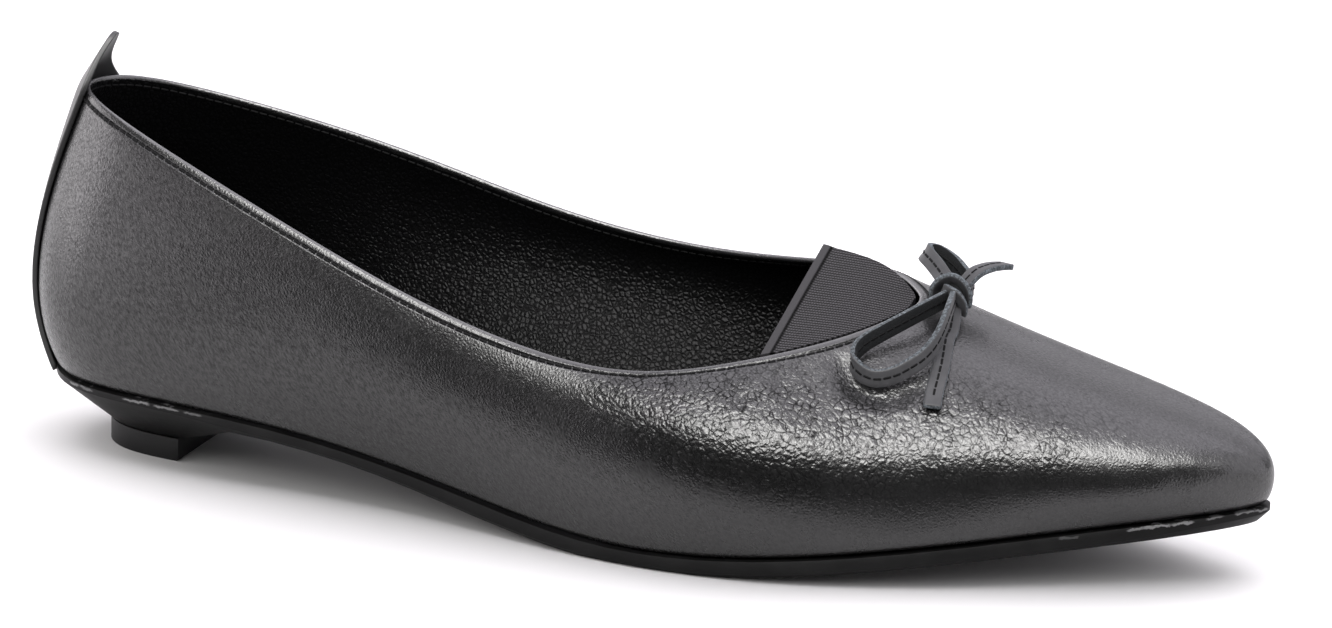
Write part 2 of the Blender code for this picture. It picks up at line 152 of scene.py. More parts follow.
def walk(points, count=None, pitch=None, closed=False):
    # even steps along a smooth curve through a few points
    points = np.asarray(points, float)
    if closed:
        around = np.vstack([points[-1], points, points[0], points[1]])
    else:
        around = np.vstack([2 * points[0] - points[1], points, 2 * points[-1] - points[-2]])
    fine = []
    for a, b, c, d in zip(around, around[1:], around[2:], around[3:]):
        for t in np.linspace(0, 1, 20, endpoint=False):
            fine.append(0.5 * (2 * b + (c - a) * t + (2 * a - 5 * b + 4 * c - d) * t**2 + (3 * b - a - 3 * c + d) * t**3))
    fine = np.vstack([fine, points[0] if closed else points[-1]])
    run = np.append(0, np.cumsum(np.linalg.norm(np.diff(fine, axis=0), axis=1)))
    count = count or max(2, round(run[-1] / pitch) + 1)
    at = np.linspace(0, run[-1], count)
    return np.stack([np.interp(at, run, fine[:, k]) for k in range(fine.shape[1])], axis=1)


# shader wiring

class Wire:
    def __init__(self, tree, socket=None):
        self.tree = tree
        self.socket = socket

    def feed(self, slot, value):
        if isinstance(value, Wire):
            self.tree.links.new(value.socket, slot)
        else:
            slot.default_value = value

    def node(self, kind, settings=None, sockets=None, out=0):
        made = self.tree.nodes.new("ShaderNode" + kind)
        for key, value in (settings or {}).items():
            setattr(made, key, value)
        for key, value in (sockets or {}).items():
            self.feed(made.inputs[key], value)
        return Wire(self.tree, made.outputs[out])

    def math(self, operation, a, b=0.0):
        return self.node("Math", {"operation": operation}, {0: a, 1: b})

    def __add__(self, other):
        return self.math("ADD", self, other)

    def __sub__(self, other):
        return self.math("SUBTRACT", self, other)

    def __rsub__(self, other):
        return self.math("SUBTRACT", other, self)

    def __mul__(self, other):
        return self.math("MULTIPLY", self, other)

    __radd__ = __add__
    __rmul__ = __mul__

    def ramp(self, low, high):
        # 0 below low, 1 above high, smooth between
        return self.node("MapRange", {"interpolation_type": "SMOOTHSTEP"},
                         {"Value": self, "From Min": low, "From Max": high})

    def attribute(self, name):
        return self.node("Attribute", {"attribute_name": name}, out=2)

    def place(self):
        return self.node("TexCoord", out=3)

    def noise(self, size, detail=2.0, rough=0.5, place=None):
        return self.node("TexNoise", {"noise_dimensions": "3D"},
                         {"Vector": place or self.place(), "Scale": 1 / size, "Detail": detail, "Roughness": rough})

    def cells(self, size, place=None):
        # distance from the nearest border between cells
        return self.node("TexVoronoi", {"feature": "DISTANCE_TO_EDGE", "voronoi_dimensions": "3D"},
                         {"Vector": place or self.place(), "Scale": 1 / size})

    def drawnOut(self, place, degrees, stretch):
        # a pattern's place turned about the shoe's width and stretched along the turned line
        return self.node("Mapping", {"vector_type": "TEXTURE"},
                         {"Vector": place, "Rotation": (0, math.radians(degrees), 0), "Scale": (stretch, 1, 1)})

    def mix(self, share, one, other):
        return self.node("Mix", {"data_type": "RGBA"}, {0: share, 6: one, 7: other}, out=2)

    def bump(self, height, depth, normal=None):
        sockets = {"Height": height, "Distance": depth, "Strength": 1.0}
        if normal:
            sockets["Normal"] = normal
        return self.node("Bump", None, sockets)

    def spot(self, centre, reach):
        # 1 near a place on the shoe, falling to 0 at its reach
        away = self.node("VectorMath", {"operation": "DISTANCE"}, {0: self.place(), 1: centre}, out=1)
        return 1 - away.ramp(0.5 * reach, reach)

    def dullShader(self, colour, gloss, roughness):
        made = self.tree.nodes.new("ShaderNodeBsdfPrincipled")
        made.inputs["Base Color"].default_value = colour
        made.inputs["Specular IOR Level"].default_value = gloss
        made.inputs["Roughness"].default_value = roughness
        return made

    def blend(self, share, one, other):
        # the first shader where share is 0, the other where it is 1
        mixed = self.node("MixShader", None, {0: share})
        links = self.tree.links
        links.new(one.outputs[0], mixed.socket.node.inputs[1])
        links.new(other.outputs[0], mixed.socket.node.inputs[2])
        links.new(mixed.socket, self.tree.nodes["Material Output"].inputs["Surface"])


def newLook(name, **plain):
    look = bpy.data.materials.new(name)
    look.use_nodes = True
    shader = look.node_tree.nodes["Principled BSDF"]
    wire = Wire(look.node_tree)
    for key, value in plain.items():
        shader.inputs[key.replace("_", " ")].default_value = value
    return look, wire, shader


print("helpers ready")

# leather of the upper

leather = dict(
    base=(0.0030, 0.0029, 0.0031, 1),
    worn=(0.0050, 0.0048, 0.0051, 1),
    # painted shade colour for the cracks, pores and stitch groove
    pitShade=(0.0016, 0.0016, 0.0017, 1),
    # painted highlight: light grey along the top of the folded rim
    rimHighlight=(0.056, 0.055, 0.057, 1),
    pebble=1.5 * mm,        # cells of the cracked grain where the vamp bends
    fine=0.40 * mm,         # pores everywhere else
    stitchLine=1.9 * mm,    # from the rim
    small=0.7 * mm,         # lesser cells between them
    waver=0.6 * mm,         # how far the borders of the cells wander
    streakTurn=32,          # degrees the stretched grain below the bend leans
    streakStretch=2.6,
    poreTurn=55,
    poreStretch=2.8,
    grainDepth=0.085 * mm,
    grooveDepth=0.30 * mm,
    gloss=0.85,
    roughness=0.215,
)


def makeUpperLook():
    look, w, shader = newLook("upperLeather", Specular_IOR_Level=leather["gloss"])
    # dull, darker finish blended in as painted shade
    dull = w.dullShader(leather["pitShade"], 0.08, 0.55)
    flex, streak, poreShade, calm, rim = (w.attribute(name) for name in ("flex", "streak", "poreShade", "calm", "rim"))
    wander = w.noise(6 * mm, 2.0)
    shifted = w.node("VectorMath", {"operation": "MULTIPLY_ADD"},
                     {0: w.node("TexNoise", None, {"Vector": w.place(), "Scale": 1 / (2.2 * mm)}, out=1),
                      1: (leather["waver"],) * 3, 2: w.place()})
    drawn = w.drawnOut(shifted, leather["streakTurn"], leather["streakStretch"])
    crack = w.cells(leather["pebble"], place=shifted)
    drawnCrack = w.cells(leather["pebble"] * 0.8, place=drawn)
    small = w.cells(leather["small"], place=shifted)
    pores = w.noise(leather["fine"], 3.0, 0.6, w.drawnOut(w.place(), leather["poreTurn"], leather["poreStretch"]))
    tilt = w.noise(1.2 * mm, 1.0)
    bent = (crack.ramp(0.0, 0.4) * 0.8 + tilt * 1.9) * flex + drawnCrack.ramp(0.0, 0.4) * streak
    grain = bent + small.ramp(0.0, 0.4) * 0.30 + pores * 0.45
    # painted shade: dark lines between the cells, deeper here and there, dark pores and the stitch groove, all dull
    strength = w.noise(2.6 * mm, 2.0, 0.6).ramp(0.32, 0.62)
    lines = (1 - crack.ramp(0.0, 0.13)) * flex * strength + (1 - drawnCrack.ramp(0.02, 0.14)) * streak * 0.6
    lines = lines + (1 - small.ramp(0.0, 0.16)) * flex * (0.55 - 0.35 * strength)
    groove = 1 - w.math("ABSOLUTE", rim - leather["stitchLine"]).ramp(0.0, 0.55 * mm)
    paintedPitShade = lines * 0.75 + (1 - pores.ramp(0.22, 0.74)) * poreShade
    paintedPitShade = w.math("MINIMUM", paintedPitShade * rim.ramp(0.6 * mm, 1.5 * mm) + groove * 0.35, 1.0)
    tone = w.mix(wander.ramp(0.35, 0.7), leather["base"], leather["worn"])
    # painted highlight on the folded rim's top roll, lighter than the leather
    rimHighlight = 1 - rim.ramp(0.25 * mm, 0.85 * mm)
    w.feed(shader.inputs["Base Color"], w.mix(rimHighlight, tone, leather["rimHighlight"]))
    w.feed(shader.inputs["Roughness"], leather["roughness"] + 0.07 * wander + 0.03 * pores + 0.02 * calm)
    fold = w.bump(groove * -1.0, leather["grooveDepth"])
    normal = w.bump(grain, leather["grainDepth"], fold)
    w.feed(shader.inputs["Normal"], normal)
    w.feed(dull.inputs["Normal"], normal)
    w.blend(paintedPitShade, shader, dull)
    return look


lining = dict(
    base=(0.0042, 0.0042, 0.0045, 1),
    worn=(0.0062, 0.0062, 0.0066, 1),
    pebble=0.95 * mm,
    grainDepth=0.10 * mm,
    gloss=0.065,
)


def makeLiningLook():
    look, w, shader = newLook("liningLeather", Specular_IOR_Level=lining["gloss"])
    dull = w.dullShader(leather["pitShade"], 0.02, 0.6)
    cells = w.cells(lining["pebble"])
    pores = w.noise(0.5 * mm, 3.0, 0.6)
    tilt = w.noise(1.0 * mm, 1.0)
    cloud = w.noise(12 * mm, 2.0)
    w.feed(shader.inputs["Base Color"], w.mix(cloud, lining["base"], lining["worn"]))
    w.feed(shader.inputs["Roughness"], 0.24 + 0.10 * cloud)
    normal = w.bump(cells.ramp(0.0, 0.4) * 0.7 + tilt * 1.1 + pores * 0.2, lining["grainDepth"])
    w.feed(shader.inputs["Normal"], normal)
    w.feed(dull.inputs["Normal"], normal)
    # painted shade: dark dull lines between the lining's cells
    w.blend((1 - cells.ramp(0.02, 0.20)) * 0.9, shader, dull)
    return look


upper = dict(
    fineness=2,
    coreHeight=24 * mm,                 # an inside line of the shoe, to tell lining from outside
    coreEnds=(-92 * mm, 92 * mm),
    turnOver=1.1 * mm,                  # leather folded over the rim before the lining starts
    rimReach=9 * mm,                    # distances from the rim are kept up to this one
    # main troughs: points on the vamp, depth, half breadth, all in millimetres
    troughs=[
        ([(50.7, -20.4, 40.8), (51.8, -22.0, 39.0), (53.7, -23.0, 37.5), (56.1, -23.2, 36.5),
          (59.3, -22.4, 35.9), (62.5, -20.6, 36.4), (65.0, -18.3, 37.8)], 0.60, 2.0),
        ([(31.1, -31.0, 39.1), (32.4, -33.2, 37.5), (34.6, -34.4, 36.1)], 0.30, 1.5),
        ([(14.4, -34.4, 37.4), (18.5, -36.7, 35.8), (23.3, -38.0, 34.4), (29.0, -37.8, 34.0)], 0.22, 1.8),
        ([(42.0, -29.6, 39.4), (44.6, -31.6, 37.4), (46.2, -33.2, 35.2)], 0.20, 1.6),
    ],
    # soft ridges beside them
    ridges=[
        ([(52.0, -26.6, 35.5), (56.4, -26.3, 33.8), (61.0, -25.0, 33.2), (64.7, -22.4, 34.4)], 0.30, 2.4),
        ([(35.0, -30.6, 39.4), (39.5, -31.4, 38.2)], 0.18, 2.2),
    ],
    # where the grain is cracked by bending: place, reach
    flexSpots=[((15, -36, 37), 9), ((22, -37, 35), 15), ((31, -37, 34), 19), ((44, -34, 33), 20),
               ((58, -28, 32), 19), ((70, -23, 32), 16), ((81, -20, 31), 12), ((92, -17, 29), 8),
               ((46, 32, 34), 18), ((66, 24, 33), 16)],
    # below it, and faintly over the vamp, the grain is drawn out into streaks
    streakLine=[(7.5, -37.6, 34.6), (16.8, -40.0, 30.9), (27.7, -41.3, 27.4), (38.5, -40.0, 25.5),
                (48.5, -36.8, 24.3)],
    vampLine=[(74.5, -15.0, 40.0), (83.0, -13.5, 36.9), (92.5, -11.5, 33.8), (102.0, -9.0, 31.5)],
    streakReach=7 * mm,
    # from the waist to the toe the painted shade in the pores grows fainter, and up from the sole it grows stronger
    calmFrom=5 * mm, calmOver=60 * mm,
    poresFrom=8 * mm, poresOver=34 * mm,
)


def coreOf(place):
    # the nearest point of the inside line
    return Vector((min(max(place.x, upper["coreEnds"][0]), upper["coreEnds"][1]), 0, upper["coreHeight"]))


def rimFrames(piece):
    # the folded edge: its points in order, the wall's outward side and the way up the wall at each
    bm = bmesh.new()
    bm.from_mesh(piece.data)
    fold = [e for e in bm.edges if len(e.link_faces) == 2 and e.calc_face_angle() > math.radians(65)
            and min(v.co.z for v in e.verts) > 30 * mm]
    ring = {}
    for e in fold:
        for v in e.verts:
            ring.setdefault(v.index, []).append(e.other_vert(v).index)
    bm.verts.ensure_lookup_table()
    start = min(ring, key=lambda i: bm.verts[i].co.x)
    order, last = [start], None
    while True:
        ahead = [i for i in ring[order[-1]] if i != last]
        last = order[-1]
        if ahead[0] == start or len(order) > len(ring):
            break
        order.append(ahead[0])
    places, outs, climbs = [], [], []
    for i in order:
        v = bm.verts[i]
        sides = [e.other_vert(v).co for e in v.link_edges if e.other_vert(v).index not in ring]
        core = coreOf(v.co)
        sides.sort(key=lambda c: (c - core).length)
        outs.append(sides[-1] - sides[0])
        climbs.append(v.co - (sides[0] + sides[-1]) / 2)
        places.append(v.co.copy())
    bm.free()
    return order, np.array(places), unit(np.array(outs)), unit(np.array(climbs))


def away(places, line):
    # distance of each place from a line of close points
    tree = KDTree(len(line))
    for i, p in enumerate(line):
        tree.insert(p, i)
    tree.balance()
    return np.array([tree.find(p)[2] for p in places])


def makeUpper():
    piece = startFrom("upper", "upperShell")
    order, rimPlaces, outs, climbs = rimFrames(piece)
    applyModifier(piece, "Round", "SUBSURF", levels=upper["fineness"], render_levels=upper["fineness"])
    places, normals = vertexPlaces(piece), vertexNormals(piece)
    core = np.stack([np.clip(places[:, 0], *upper["coreEnds"]), 0 * places[:, 0],
                     np.full(len(places), upper["coreHeight"])], axis=1)
    outside = np.sum(normals * (places - core), axis=1) > 0
    moved = places.copy()
    tree = surfaceOf(piece)

    def drawLine(points, pitch):
        # a line through given points, laid on the leather
        return walk([tree.find_nearest(Vector(p) * mm)[0] for p in points], pitch=pitch)

    for lines, sign in ((upper["troughs"], -1), (upper["ridges"], 1)):
        for points, depth, breadth in lines:
            near = away(places, drawLine(points, 0.4 * mm))
            push = sign * depth * mm * np.exp(-(near / (breadth * mm))**2)
            moved += push[:, None] * normals * outside[:, None]
    setPlaces(piece, moved)

    rim = np.minimum(away(moved, walk(moved[order], pitch=0.5 * mm, closed=True)), upper["rimReach"])
    flex = np.zeros(len(moved))
    for centre, reach in upper["flexSpots"]:
        flex = np.maximum(flex, soft(1.15 - np.linalg.norm(moved - np.array(centre) * mm, axis=1) / (reach * mm)))
    side, vamp = (soft(1.1 - away(moved, drawLine(upper[name], 0.5 * mm)) / upper["streakReach"])
                  for name in ("streakLine", "vampLine"))
    streak = np.maximum(side * (1 - 0.7 * flex), 0.45 * vamp * (1 - 0.5 * flex))
    calm = soft((moved[:, 0] - upper["calmFrom"]) / upper["calmOver"])
    # strength of the painted shade in the pores
    poreShade = (0.36 + 0.40 * soft((moved[:, 2] - upper["poresFrom"]) / upper["poresOver"])) * (1 - 0.4 * calm)
    for name, values in (("rim", rim), ("flex", flex), ("streak", streak), ("poreShade", poreShade), ("calm", calm)):
        keep(piece, name, values)

    seat(piece, [makeUpperLook(), makeLiningLook()], "upper_leather", "upper")
    for face in piece.data.polygons:
        turnedOver = rim[list(face.vertices)].mean() < upper["turnOver"]
        outward = face.normal.dot(face.center - coreOf(face.center)) > 0
        face.material_index = 0 if turnedOver or outward else 1
    pick(piece)
    bpy.ops.object.shade_smooth()
    return piece, moved[order], outs, climbs


upperShell, rimPlaces, rimOuts, rimClimbs = makeUpper()
print("upper:", len(upperShell.data.polygons), "faces")

# stitches: one short thread modelled once and copied along each row

thread = dict(length=1.3 * mm, breadth=0.52 * mm, sink=0.05 * mm, pitch=1.85 * mm,
              colour=(0.002, 0.002, 0.0022, 1), lit=(0.005, 0.005, 0.0055, 1))


def makeThreadLook():
    look, w, shader = newLook("sewingThread", Roughness=0.7, Specular_IOR_Level=0.1)
    twist = w.noise(0.25 * mm, 1.0)
    w.feed(shader.inputs["Base Color"], w.mix(twist, thread["colour"], thread["lit"]))
    w.feed(shader.inputs["Normal"], w.bump(twist, 0.05 * mm))
    return look


threadLook = makeThreadLook()


def threadShape():
    # a short rod with drawn-in ends
    bpy.ops.object.select_all(action="DESELECT")
    bpy.ops.mesh.primitive_cylinder_add(vertices=6, radius=thread["breadth"] / 2, depth=thread["length"])
    rod = bpy.context.object
    bpy.ops.object.mode_set(mode="EDIT")
    bpy.ops.mesh.select_all(action="DESELECT")
    bpy.ops.object.mode_set(mode="OBJECT")
    for face in rod.data.polygons:
        face.select = abs(face.normal.z) > 0.9
    bpy.ops.object.mode_set(mode="EDIT")
    bpy.ops.mesh.select_mode(type="FACE")
    bpy.ops.mesh.inset(thickness=thread["breadth"] * 0.22, use_individual=True)
    bpy.ops.object.mode_set(mode="OBJECT")
    for vertex in rod.data.vertices:
        if vertex.co.xy.length < thread["breadth"] * 0.4:
            vertex.co.z *= 1.22
    places = np.array([v.co for v in rod.data.vertices])
    faces = [list(p.vertices) for p in rod.data.polygons]
    bpy.data.objects.remove(rod)
    return places, faces


threadPlaces, threadFaces = threadShape()


def sewRow(name, stitches, slotName):
    # stitches: middle, heading, face normal of each
    verts, faces = [], []
    for middle, heading, normal in stitches:
        heading = unit(np.asarray(heading))
        side = unit(np.cross(normal, heading))
        up = np.cross(heading, side)
        start = len(verts)
        local = threadPlaces[:, 0:1] * side + threadPlaces[:, 1:2] * up * 0.7 + threadPlaces[:, 2:3] * heading
        verts.extend((middle - up * thread["sink"] + local).tolist())
        faces.extend([[start + i for i in face] for face in threadFaces])
    mesh = bpy.data.meshes.new(name)
    mesh.from_pydata(verts, [], faces)
    piece = bpy.data.objects.new(name, mesh)
    scene.collection.objects.link(piece)
    pick(piece)
    bpy.ops.object.shade_smooth()
    seat(piece, [threadLook], slotName)


def sewRim():
    tree = surfaceOf(upperShell)
    line = walk(np.hstack([rimPlaces, rimOuts, rimClimbs]), pitch=thread["pitch"], closed=True)[:-1]
    places = line[:, :3]
    run = np.append(0, np.cumsum(np.linalg.norm(np.diff(places, axis=0), axis=1)))
    even = np.arange(0, run[-1], thread["pitch"])
    line = np.stack([np.interp(even, run, line[:, k]) for k in range(9)], axis=1)   # place, outward side, way up
    heading = np.gradient(line[:, :3], axis=0)
    for name, side in (("rimStitchesOutside", 1), ("rimStitchesInside", -1)):
        row = []
        for p, ahead in zip(line, heading):
            guess = p[:3] - p[6:9] * leather["stitchLine"] + side * p[3:6] * mm
            hit, normal, _, _ = tree.find_nearest(Vector(guess))
            row.append((np.array(hit), ahead, np.array(normal)))
        sewRow(name, row, "upper_leather")


sewRim()
print("topline sewn")

# sole, heel block and insole

sole = dict(edgeRound=0.35 * mm, base=(0.0022, 0.0022, 0.0023, 1), scuffed=(0.005, 0.005, 0.0051, 1))
# glue marks on the sole's edge, lighter than the rubber, partly a painted highlight along its upper edge
glueAndHighlightTone = (0.22, 0.22, 0.22, 1)
glueAndHighlightMarks = [  # place on the sole's edge in millimetres, reach, strength
    ((-113.0, -17.6, 13.9), 2.6, 0.8), ((-109.6, -19.5, 14.3), 3.0, 0.7), ((-97.0, -22.9, 14.8), 4.6, 0.85),
    ((-90.0, -24.1, 14.6), 4.2, 0.8), ((-84.0, -24.6, 14.2), 3.0, 0.7), ((106.5, -8.2, 11.3), 2.6, 0.9),
    ((110.0, -6.3, 11.5), 4.2, 1.0), ((114.5, -4.0, 11.8), 3.6, 1.0), ((120.0, -0.8, 13.0), 3.0, 0.75),
    ((124.7, 2.6, 14.1), 3.2, 0.8), ((127.1, 5.5, 14.8), 2.6, 0.75), ((77.3, -23.1, 6.9), 1.0, 1.2),
    ((95.0, -14.1, 10.4), 3.0, 0.6),
]


def makeSoleLook():
    look, w, shader = newLook("soleEdgePaint", Specular_IOR_Level=0.16)
    streak = w.noise(1.6 * mm, 3.0, 0.6)
    cloud = w.noise(9 * mm, 2.0)
    glueAndHighlight = None
    for centre, reach, strength in glueAndHighlightMarks:
        mark = w.spot([c * mm for c in centre], reach * mm) * strength
        glueAndHighlight = mark if glueAndHighlight is None else w.math("MAXIMUM", glueAndHighlight, mark)
    below = w.attribute("below")   # distance under the sole's upper edge
    # a thin band under the sole's upper edge holds the marks: partly glue, partly a painted highlight on the edge
    line = 1 - w.math("ABSOLUTE", below + 0.35 * mm - streak * (1.5 * mm)).ramp(0.10 * mm, 0.50 * mm)
    glueAndHighlight = (glueAndHighlight * line).ramp(0.35, 1.1)
    base = w.mix(cloud.ramp(0.4, 0.75), sole["base"], sole["scuffed"])
    w.feed(shader.inputs["Base Color"], w.mix(glueAndHighlight, base, glueAndHighlightTone))
    w.feed(shader.inputs["Roughness"], 0.40 + 0.18 * cloud - 0.18 * glueAndHighlight)
    w.feed(shader.inputs["Normal"], w.bump(streak + glueAndHighlight, 0.05 * mm))
    return look


def makeSole():
    piece = startFrom("outsole", "outsoleEdge")
    roundEdges(piece, sole["edgeRound"], 2, 25)
    places = vertexPlaces(piece)
    tree = KDTree(len(places))
    for i, (x, y, _) in enumerate(places):
        tree.insert((x, y, 0), i)
    tree.balance()
    crest = [max(places[i, 2] for _, i, _ in tree.find_range((x, y, 0), 5 * mm)) for x, y, _ in places]
    keep(piece, "below", np.array(crest) - places[:, 2])
    smoothBy(piece, 40)
    seat(piece, [makeSoleLook()], "sole_rubber", "outsole")


heel = dict(edgeRound=0.4 * mm, base=(0.004, 0.004, 0.0042, 1), dusty=(0.008, 0.008, 0.0082, 1))


def makeHeelLook():
    look, w, shader = newLook("heelRubber", Specular_IOR_Level=0.2)
    speck = w.noise(0.8 * mm, 3.0, 0.65)
    cloud = w.noise(7 * mm, 2.0)
    w.feed(shader.inputs["Base Color"], w.mix(cloud, heel["base"], heel["dusty"]))
    w.feed(shader.inputs["Roughness"], 0.5 + 0.15 * cloud)
    w.feed(shader.inputs["Normal"], w.bump(speck, 0.03 * mm))
    return look


def makeHeel():
    piece = startFrom("heel_block", "heelBlock")
    roundEdges(piece, heel["edgeRound"], 3, 30)
    smoothBy(piece, 40)
    seat(piece, [makeHeelLook()], "heel_rubber", "heel_block")


insole = dict(edgeRound=0.7 * mm, base=(0.0035, 0.0035, 0.0037, 1), worn=(0.006, 0.006, 0.0063, 1))


def makeInsoleLook():
    look, w, shader = newLook("insoleLeather", Specular_IOR_Level=0.14)
    pores = w.noise(0.45 * mm, 3.0, 0.6)
    cloud = w.noise(14 * mm, 2.0)
    w.feed(shader.inputs["Base Color"], w.mix(cloud, insole["base"], insole["worn"]))
    w.feed(shader.inputs["Roughness"], 0.48 + 0.12 * cloud)
    w.feed(shader.inputs["Normal"], w.bump(pores, 0.015 * mm))
    return look


def makeInsole():
    piece = startFrom("insole", "insoleSock")
    roundEdges(piece, insole["edgeRound"], 3, 40)
    smoothBy(piece, 45)
    seat(piece, [makeInsoleLook()], "insole_leather", "insole")


makeSole()
makeHeel()
makeInsole()
print("sole, heel and insole done")

# strip over the back seam with its pull tab

strip = dict(base=(0.0075, 0.0073, 0.0078, 1), edge=(0.013, 0.013, 0.0135, 1),
             footTop=28 * mm, footDrop=1.6 * mm, footTuck=0.5 * mm)   # the lower end lies down on the sole's edge


def makeStripLook():
    look, w, shader = newLook("stripLeather", Specular_IOR_Level=0.55)
    pores = w.noise(0.45 * mm, 3.0, 0.6)
    cloud = w.noise(8 * mm, 2.0)
    w.feed(shader.inputs["Base Color"], w.mix(cloud, strip["base"], strip["edge"]))
    w.feed(shader.inputs["Roughness"], 0.42 + 0.12 * cloud)
    w.feed(shader.inputs["Normal"], w.bump(pores, 0.018 * mm))
    return look


def makeStrip():
    piece = startFrom("back_strip", "backStrip")
    creaseEdges(piece, 45, 0.75)
    applyModifier(piece, "Round", "SUBSURF", levels=2, render_levels=2)
    places = vertexPlaces(piece)
    foot = soft((strip["footTop"] - places[:, 2]) / (strip["footTop"] - places[:, 2].min()))
    places[:, 2] -= strip["footDrop"] * foot
    places[:, 0] += strip["footTuck"] * foot
    setPlaces(piece, places)
    pick(piece)
    bpy.ops.object.shade_smooth()
    seat(piece, [makeStripLook()], "strip_leather", "back_strip")


makeStrip()
print("back strip done")

# elastic gore of the throat

elastic = dict(border=2.0 * mm, weave=0.55 * mm, weaveDepth=0.20 * mm, borderRise=0.22 * mm,
               # the pale tone is a painted highlight on the weave's raised threads, the darkest a painted shadow at
               # its border
               dark=(0.003, 0.003, 0.003, 1), weaveHighlight=(0.088, 0.0855, 0.0890, 1), borderShadow=(0.001, 0.001, 0.001, 1))


def makeElasticLook():
    look, w, shader = newLook("wovenElastic", Specular_IOR_Level=0.03)
    into, along = w.attribute("into"), w.attribute("along")
    turn = 2 * math.pi / elastic["weave"]
    rib = (w.math("SINE", (along + into * 0.45) * (turn * 0.5)) * 0.5 + 0.5).ramp(0.1, 0.8)
    dash = w.math("SINE", (into - along * 0.2) * (turn * 0.85)) * 0.5 + 0.5
    inside = into.ramp(elastic["border"] - 0.15 * mm, elastic["border"] + 0.15 * mm)
    # painted shadow: a dark line along the border of the weave
    line = 1 - w.math("ABSOLUTE", into - elastic["border"]).ramp(0.1 * mm, 0.55 * mm)
    weave = rib * (0.35 + dash * 0.65) * inside + (1 - inside) * 0.5
    fuzz = w.noise(0.3 * mm, 2.0)
    # raised threads painted lighter than the hollows: painted highlight on the weave
    tone = w.mix(weave * 0.8 + fuzz * 0.2, elastic["dark"], elastic["weaveHighlight"])
    w.feed(shader.inputs["Base Color"], w.mix(line, tone, elastic["borderShadow"]))
    w.feed(shader.inputs["Roughness"], 0.62 + 0.15 * fuzz)
    w.feed(shader.inputs["Normal"], w.bump(weave - line, elastic["weaveDepth"]))
    return look


def makeElastic():
    piece = startFrom("throat_elastic", "throatElastic")
    pick(piece)
    bpy.ops.object.mode_set(mode="EDIT")
    bpy.ops.mesh.select_all(action="SELECT")
    bpy.ops.mesh.subdivide(number_cuts=3)
    bpy.ops.object.mode_set(mode="OBJECT")
    places = vertexPlaces(piece)
    # free edge: from the rearmost point on the outer side to the rearmost on the inner side
    outerEnd = places[np.argmin(places[:, 0] + 2.0 * places[:, 1])]
    innerEnd = places[np.argmin(places[:, 0] - 1.2 * places[:, 1])]
    heading = unit((innerEnd - outerEnd) * [1, 1, 0])
    across = np.array([heading[1], -heading[0], 0])
    if across[0] < 0:
        across = -across
    into = (places - outerEnd) @ across
    along = (places - outerEnd) @ heading
    # the edge bows a little, so it is followed step by step
    steps = np.linspace(0, along.max(), 13)
    bowed = [into[abs(along - at) < 3.0 * mm].min() for at in steps]
    into = into - np.interp(along, steps, bowed)
    top = vertexNormals(piece)[:, 2] > 0.3
    inward = soft((into - elastic["border"] * 0.8) / (elastic["border"] * 0.4))
    places[:, 2] += elastic["borderRise"] * top * (1 - inward)
    setPlaces(piece, places)
    keep(piece, "into", into)
    keep(piece, "along", along)
    seat(piece, [makeElasticLook()], "elastic_weave", "throat_elastic")
    smoothBy(piece, 40)


makeElastic()
print("elastic done")

# bow: flat laces bent along given routes, stitched down the middle

bow = dict(
    width=3.5 * mm,
    thick=1.15 * mm,
    round=0.34 * mm,
    steps=64,
    stitchPitch=1.85 * mm,
    # forward of the knot, towards the inner side and up, in millimetres
    outerLoop=[(-3.8, -8.8, 4.3), (-6.5, -13.5, 3.7), (-8.9, -16.7, 3.3), (-11.2, -19.6, 3.0), (-12.4, -21.8, 2.8),
               (-11.8, -23.3, 2.7), (-9.7, -24.1, 2.7), (-6.8, -23.8, 2.8), (-3.8, -22.2, 3.0), (-1.5, -20.1, 3.3),
               (0.1, -18.0, 3.7), (1.1, -15.4, 4.2), (1.3, -12.2, 5.0), (0.6, -7.7, 6.0)],
    innerLoop=[(-4.6, 5.0, 6.4), (-7.2, 7.6, 7.5), (-9.4, 9.8, 8.2), (-10.0, 11.6, 8.3), (-8.1, 12.4, 8.0),
               (-4.6, 10.9, 7.0), (-1.6, 8.7, 5.8), (1.0, 6.6, 4.0)],
    outerTail=[(1.4, -6.5, 1.0), (1.9, -10.0, 1.1), (3.0, -14.2, 1.0), (3.7, -17.3, 1.0), (4.2, -21.3, 1.2),
               (4.7, -23.8, 1.8)],
    innerTail=[(2.5, 4.6, 7.6), (3.6, 8.2, 7.8), (4.6, 11.5, 7.4), (5.4, 14.3, 6.8)],
    innerLean=(0.72, 0.46, 0.53),   # broad side of the inner loop where it leaves the knot
    # the knot's two turns from its middle, and the way its open side faces
    knotArch=[(-3.6, -1.0, -0.5), (-3.4, -1.3, 1.2), (-2.3, -0.9, 2.6), (-0.7, -0.3, 3.2), (1.0, 0.1, 2.4),
              (2.1, 0.2, 0.9), (2.4, 0.4, -0.7), (2.1, 0.7, -2.1)],
    knotBand=[(-1.5, -1.8, 1.7), (-0.1, -2.5, 1.4), (1.3, -2.6, 0.8), (2.2, -2.4, -0.4), (2.5, -1.9, -1.9),
              (2.2, -1.4, -3.5)],
    knotFacing=(0.35, -0.89, 0.29),
    archWidth=0.8, bandWidth=0.5,   # in widths of the lace, drawn narrow by the pull
    knotCore=(2.2, 2.0, 2.2),
)
knotLow, knotHigh = (np.array(corner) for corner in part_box("bow_knot"))
knot = (knotLow + knotHigh) / 2
vampTree = surfaceOf(nodes["upper"])


def onVamp(x, y):
    hit, normal, _, _ = vampTree.ray_cast(Vector((x, y, 0.2)), Vector((0, 0, -1)))
    return np.array(hit), np.array(normal)


